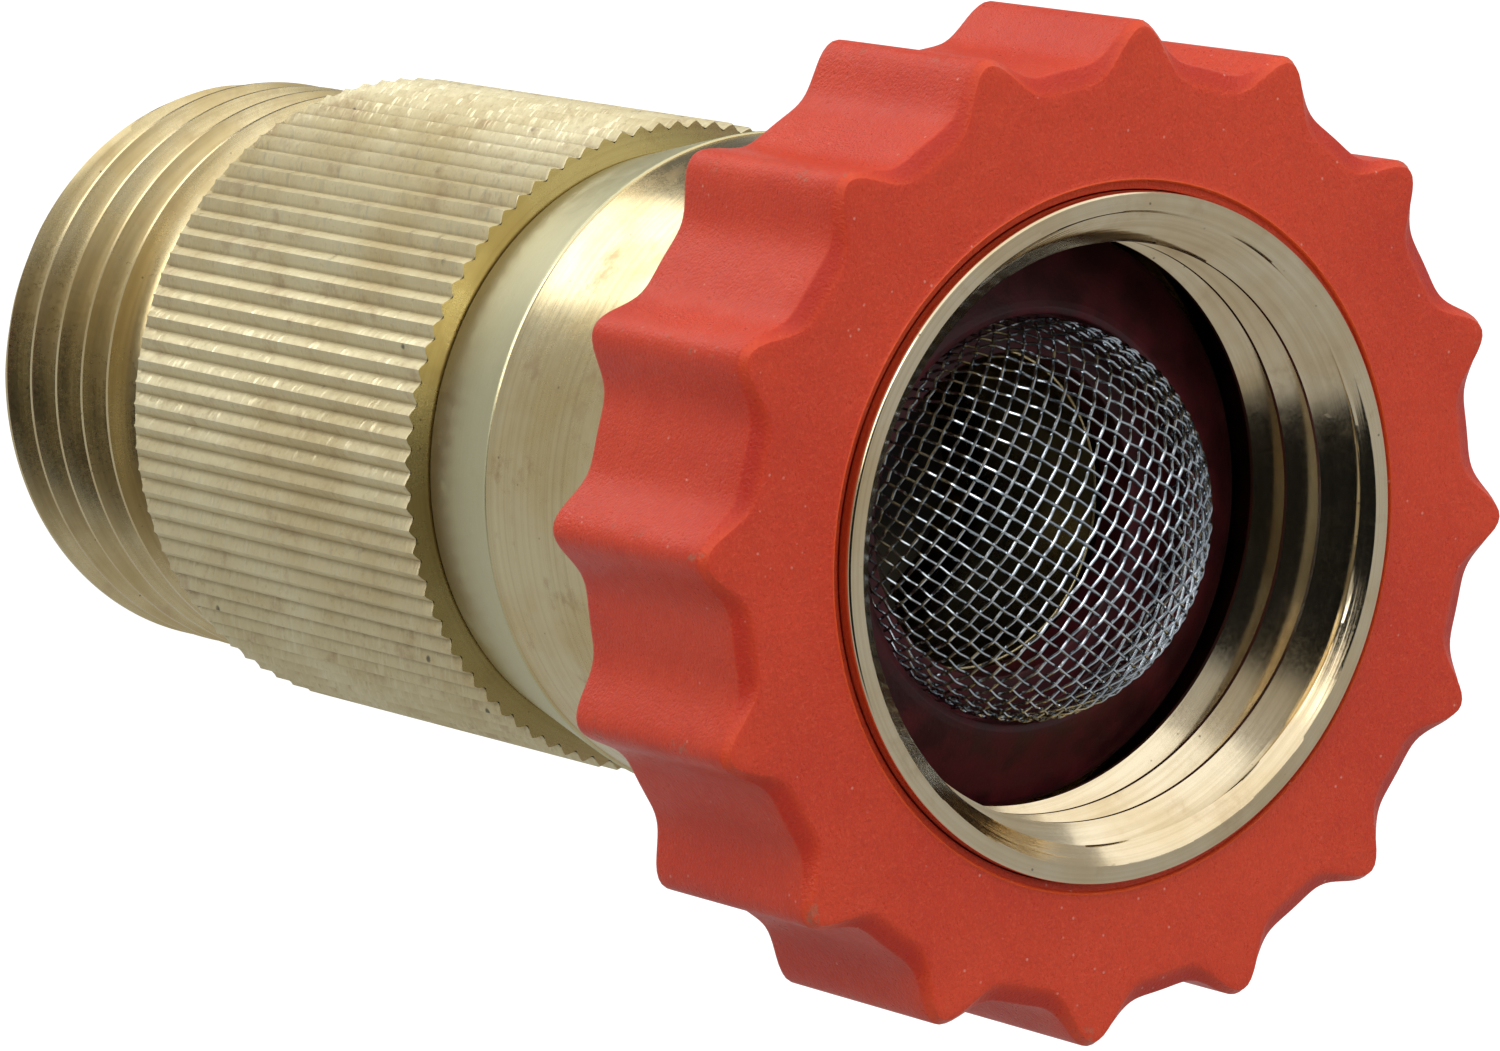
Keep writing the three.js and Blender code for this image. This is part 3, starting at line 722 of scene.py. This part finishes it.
# ------------------------------------------------------------------ filter
def filter_washer():
    """Dished hose washer with a raised bead round the screen."""
    bore = WATERWAY_R + 0.1
    lip = SCREEN_R + 0.2
    seat_z = SCREEN_Z0 - 0.15
    side_z = 58.7
    profile = [
        (bore, WASHER_Z0), (WASHER_R, WASHER_Z0), (WASHER_R, side_z), (WASHER_R - 0.3, side_z + 0.25),
        (lip + 0.6, WASHER_Z1 - 0.1), (lip + 0.3, WASHER_Z1), (lip, WASHER_Z1 - 0.05),
        (lip, seat_z), (bore, seat_z),
    ]
    points, faces = turned(split(rounded(profile, CORNER_R), 0.8), 160)
    mesh_object("filter_washer_ring", points, faces, "housing", MAROON, "filter_washer")


def dome_table():
    """Arc length from the dome's top, with the radius and height there, down through the short skirt."""
    t = np.linspace(0, math.pi / 2, 400)
    r = (SCREEN_R - WIRE_R) * np.sin(t)
    z = DOME_Z + (DOME_TOP - WIRE_R - DOME_Z) * np.cos(t)
    r = np.append(r, r[-1])
    z = np.append(z, DOME_Z - 1.0)
    length = np.concatenate([[0], np.cumsum(np.hypot(np.diff(r), np.diff(z)))])
    return length, r, z


def tube(path, radius, sides=6):
    """Points and faces of a round wire along a path, closed at both ends."""
    path = np.asarray(path)
    along = np.gradient(path, axis=0)
    along /= np.linalg.norm(along, axis=1)[:, None]
    side = np.cross(along, [0, 0, 1.0])
    side /= np.maximum(np.linalg.norm(side, axis=1), 1e-9)[:, None]
    up = np.cross(side, along)
    t = np.arange(sides) * TAU / sides
    ring = side[:, None] * np.cos(t)[None, :, None] + up[:, None] * np.sin(t)[None, :, None]
    points = (path[:, None] + radius * ring).reshape(-1, 3)
    faces = []
    for i in range(len(path) - 1):
        for j in range(sides):
            k = (j + 1) % sides
            faces.append((i * sides + j, i * sides + k, (i + 1) * sides + k, (i + 1) * sides + j))
    last = (len(path) - 1) * sides
    faces.append(tuple(range(sides - 1, -1, -1)))
    faces.append(tuple(range(last, last + sides)))
    return points, faces


def filter_screen():
    """Plain-woven wire cloth pressed into a dome: two crossed sets of wires, over and under."""
    length, radius, height = dome_table()
    slope_r = np.gradient(radius, length)
    slope_z = np.gradient(height, length)
    reach = length[-1]
    count = int(reach / WIRE_PITCH)
    all_points, all_faces, base = [], [], 0
    for direction in (0, 1):
        for k in range(-count, count + 1):
            offset = (k + 0.5 * direction) * WIRE_PITCH
            half = math.sqrt(max(reach * reach - offset * offset, 0))
            if half < 2 * WIRE_PITCH:
                continue
            v = np.arange(-half, half, WIRE_PITCH / 4)
            flat = np.hypot(offset, v)
            angle = WEAVE_ANGLE + direction * math.pi / 2 + np.arctan2(v, offset)
            crossing = v / WIRE_PITCH + 0.5 * (1 - direction) + k
            wave = 0.9 * WIRE_R * np.cos(math.pi * crossing)
            r = np.interp(flat, length, radius) - np.interp(flat, length, slope_z) * wave
            z = np.interp(flat, length, height) + np.interp(flat, length, slope_r) * wave
            path = np.stack([r * np.cos(angle), r * np.sin(angle), z], -1)
            points, faces = tube(path, WIRE_R)
            all_points.append(points)
            all_faces += [tuple(i + base for i in face) for face in faces]
            base += len(points)
    mesh_object("filter_screen_cloth", np.vstack(all_points), all_faces, "housing",
                SCREEN_STEEL, "filter_screen")


# ------------------------------------------------------------------ pieces inside
def turned_piece(name, profile, body, material, node, corner=CORNER_R):
    """A plain turned piece with small rounds on its corners."""
    points, faces = turned(split(rounded(profile, corner), 1.0), 96)
    mesh_object(name, points, faces, body, material, node)


def seal_ring(node, body):
    """A round-section O-ring where the CAD's ring lies."""
    z0, z1, outer = span(node)
    section = (z1 - z0) / 2
    t = np.arange(20) * TAU / 20
    profile = np.stack([outer - section + section * np.cos(t), (z0 + z1) / 2 + section * np.sin(t)], -1)
    points, faces = turned(profile, 96)
    mesh_object(node + "_torus", points, faces, body, BLACK, node)


def flat_ring(node, body, material, bore, corner=CORNER_R):
    """A washer or disc between the CAD node's ends, with that bore."""
    z0, z1, outer = span(node)
    profile = [(bore, z0), (outer, z0), (outer, z1), (bore, z1)]
    turned_piece(node + "_ring", profile, body, material, node, corner)


def swivel_tailpiece():
    """Flanged tube with an O-ring groove, on which the nut turns."""
    z0, z1, flange = span("swivel_tailpiece")
    floor, low, high = TAIL_GROOVE
    profile = [
        (WATERWAY_R, z0), (TAIL_R, z0), (TAIL_R, low), (floor, low), (floor, high), (TAIL_R, high),
        (TAIL_R, FLANGE_Z), (flange, FLANGE_Z), (flange, z1), (WATERWAY_R, z1),
    ]
    turned_piece("swivel_tailpiece_tube", profile, "housing", BRASS, "swivel_tailpiece")


def piston():
    """Piston head with its O-ring groove and funnel, and the hollow stem whose lip meets the seat."""
    z0, z1, head = span("piston")
    floor, low, high = PISTON_GROOVE
    stem, lip, bore, funnel = 4.8, 3.9, 3.2, 6.5
    head_top, funnel_top, lip_bevel = 14, 12, 0.8
    profile = [
        (funnel, z0), (head, z0), (head, low), (floor, low), (floor, high), (head, high), (head, head_top),
        (stem, head_top), (stem, z1 - lip_bevel), (lip, z1), (bore, z1), (bore, funnel_top),
    ]
    turned_piece("piston_turned", profile, "piston_assembly", BRASS, "piston")


def regulator_spring():
    """Compression spring of round wire, its end turns closed and ground flat."""
    z0, z1, _ = span("regulator_spring")
    ground = 0.8 * SPRING_WIRE_R
    turn = np.linspace(0, 2 * CLOSED_TURNS + ACTIVE_TURNS, 360)
    closed_rise = 2 * CLOSED_TURNS * CLOSED_PITCH
    active_pitch = (z1 - z0 - 2 * ground - closed_rise) / ACTIVE_TURNS
    active = np.clip(turn - CLOSED_TURNS, 0, ACTIVE_TURNS)
    rise = (turn - active) * CLOSED_PITCH + active * active_pitch
    x, y = SPRING_COIL_R * np.cos(TAU * turn), SPRING_COIL_R * np.sin(TAU * turn)
    points, faces = tube(np.stack([x, y, z0 + ground + rise], -1), SPRING_WIRE_R, sides=16)
    points[:, 2] = np.clip(points[:, 2], z0, z1)
    made = mesh_object("regulator_spring_wire", points, faces, "housing", SPRING_STEEL,
                       "regulator_spring")
    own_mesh(made)


def seat():
    """The holder and its screw keep their CAD shapes; the disc and washer between them are turned."""
    flat_ring("seat_disc", "housing", BLACK, bore=1.3, corner=0.3)
    flat_ring("seat_screw_washer", "housing", SPRING_STEEL, bore=1.2)
    for node, material in (("seat_holder", ACETAL), ("seat_screw", SPRING_STEEL)):
        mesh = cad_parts[node].data
        mesh.materials.clear()
        mesh.materials.append(material)


def inner_pieces():
    """Everything that the body hides, from the tailpiece down to the piston."""
    swivel_tailpiece()
    piston()
    regulator_spring()
    seat()
    for node in ("body_seal_ring", "stem_seal_ring", "tailpiece_seal_ring"):
        seal_ring(node, "housing")
    seal_ring("piston_seal_ring", "piston_assembly")
    flat_ring("stem_seal_retainer", "housing", SPRING_STEEL, bore=5.2)
    flat_ring("spring_shim", "housing", SPRING_STEEL, bore=6.2)
    flat_ring("spring_washer", "piston_assembly", SPRING_STEEL, bore=5.2)


# ------------------------------------------------------------------ stage
def camera():
    """The photograph's view: close above the grip, with the camera rolled so that the flow axis lies
    across the picture."""
    place = Vector((-118.46, -175.90, 314.64)) * MM
    heading = math.radians(55.31)
    down = math.radians(52.16)
    roll = math.radians(102.2)
    level = math.cos(down)
    ahead = Vector((level * math.cos(heading), level * math.sin(heading), -math.sin(down)))
    data = bpy.data.cameras.new("camera")
    data.sensor_width = 36
    data.lens = 189.07
    data.clip_start = 0.01
    made = bpy.data.objects.new("camera", data)
    made.location = place
    made.rotation_mode = "QUATERNION"
    made.rotation_quaternion = ahead.to_track_quat("-Z", "Y") @ Quaternion((0, 0, 1), roll)
    bpy.context.scene.collection.objects.link(made)
    bpy.context.scene.camera = made


def studio_shell():
    """Plain pale floor that curves up into a wall all round."""
    floor_r, bend, top = 1400, 600, 2400
    outline = [(0.0, OUTLET_Z0), (floor_r, OUTLET_Z0)]
    for t in np.linspace(0.1, math.pi / 2, 12):
        outline.append((floor_r + bend * math.sin(t), bend * (1 - math.cos(t))))
    outline.append((floor_r + bend, top))
    outline.append((0.0, top))
    points, faces = closed_on_axis(outline, 64)
    mesh = bpy.data.meshes.new("studio_shell")
    mesh.from_pydata((points * MM).tolist(), [], faces)
    s = Shader("studio_paper", metallic=0.0)
    s.principled.inputs["Emission Color"].default_value = (1, 1, 1, 1)
    s.principled.inputs["Emission Strength"].default_value = 1.0
    s.principled.inputs["Specular IOR Level"].default_value = 0.0
    mesh.materials.append(s.finish((0.25, 0.25, 0.25, 1), 0.9))
    shell = bpy.data.objects.new("studio_shell", mesh)
    bpy.context.scene.collection.objects.link(shell)
    shell.visible_glossy = False
    shell.visible_diffuse = False
    shell.visible_shadow = False


def softbox(name, direction, size, power, mirrored=True):
    """A square area light that shines on the object from a direction in the camera's own frame:
    right, up and towards the camera. One that isn't mirrored leaves no highlight."""
    distance = 0.8
    light = bpy.data.lights.new(name, "AREA")
    light.size = size
    light.energy = power
    target = Vector((0, 0, 45 * MM))
    turn = bpy.context.scene.camera.rotation_quaternion
    away = turn @ Vector(direction).normalized()
    made = bpy.data.objects.new(name, light)
    made.location = target + away * distance
    made.rotation_mode = "QUATERNION"
    made.rotation_quaternion = (-away).to_track_quat("-Z", "Y")
    made.visible_camera = False
    made.visible_glossy = mirrored
    bpy.context.scene.collection.objects.link(made)


def dark_patch(tree, direction, edge, core, darkest):
    """Brightness of the air: 1 all round, falling to darkest where a look along direction has a
    cosine from edge up to core."""
    look = tree.nodes.new("ShaderNodeTexCoord")
    nearness = tree.nodes.new("ShaderNodeVectorMath")
    nearness.operation = "DOT_PRODUCT"
    nearness.inputs[1].default_value = direction
    tree.links.new(look.outputs["Generated"], nearness.inputs[0])
    fade = tree.nodes.new("ShaderNodeMapRange")
    fade.interpolation_type = "SMOOTHSTEP"
    for socket, number in zip(list(fade.inputs)[1:5], (edge, core, 1.0, darkest)):
        socket.default_value = number
    tree.links.new(nearness.outputs["Value"], fade.inputs[0])
    return fade.outputs[0]


def studio_air():
    """Even grey light from all round, but for a dark patch of ceiling and another behind the object."""
    world = bpy.data.worlds.new("studio_air")
    world.use_nodes = True
    tree = world.node_tree
    background = tree.nodes["Background"]
    background.inputs["Color"].default_value = (0.47, 0.475, 0.48, 1)
    both = tree.nodes.new("ShaderNodeMath")
    both.operation = "MULTIPLY"
    ceiling = dark_patch(tree, (-0.134, -0.562, 0.817), edge=0.81, core=0.88, darkest=0.02)
    behind = dark_patch(tree, (-0.308, 0.533, -0.788), edge=0.93, core=0.97, darkest=0.3)
    tree.links.new(ceiling, both.inputs[0])
    tree.links.new(behind, both.inputs[1])
    tree.links.new(both.outputs[0], background.inputs["Strength"])
    bpy.context.scene.world = world


def lighting():
    """The air's even light and four softboxes, sizes in metres and powers in watts."""
    studio_air()
    softbox("top_light", (0.2, 0.85, 0.3), size=1.3, power=4.7)
    softbox("front_light", (-0.35, 0.45, 0.82), size=0.5, power=2.2)
    softbox("edge_light", (-0.55, 0.69, -0.47), size=0.42, power=1.15)
    softbox("face_light", (0.9, 0.2, 0.5), size=0.6, power=1.2, mirrored=False)


camera()
studio_shell()
lighting()
bpy.context.scene.view_settings.view_transform = "Standard"

outlet_body()
inlet_body()
swivel_nut()
grip_collar()
filter_washer()
filter_screen()
inner_pieces()
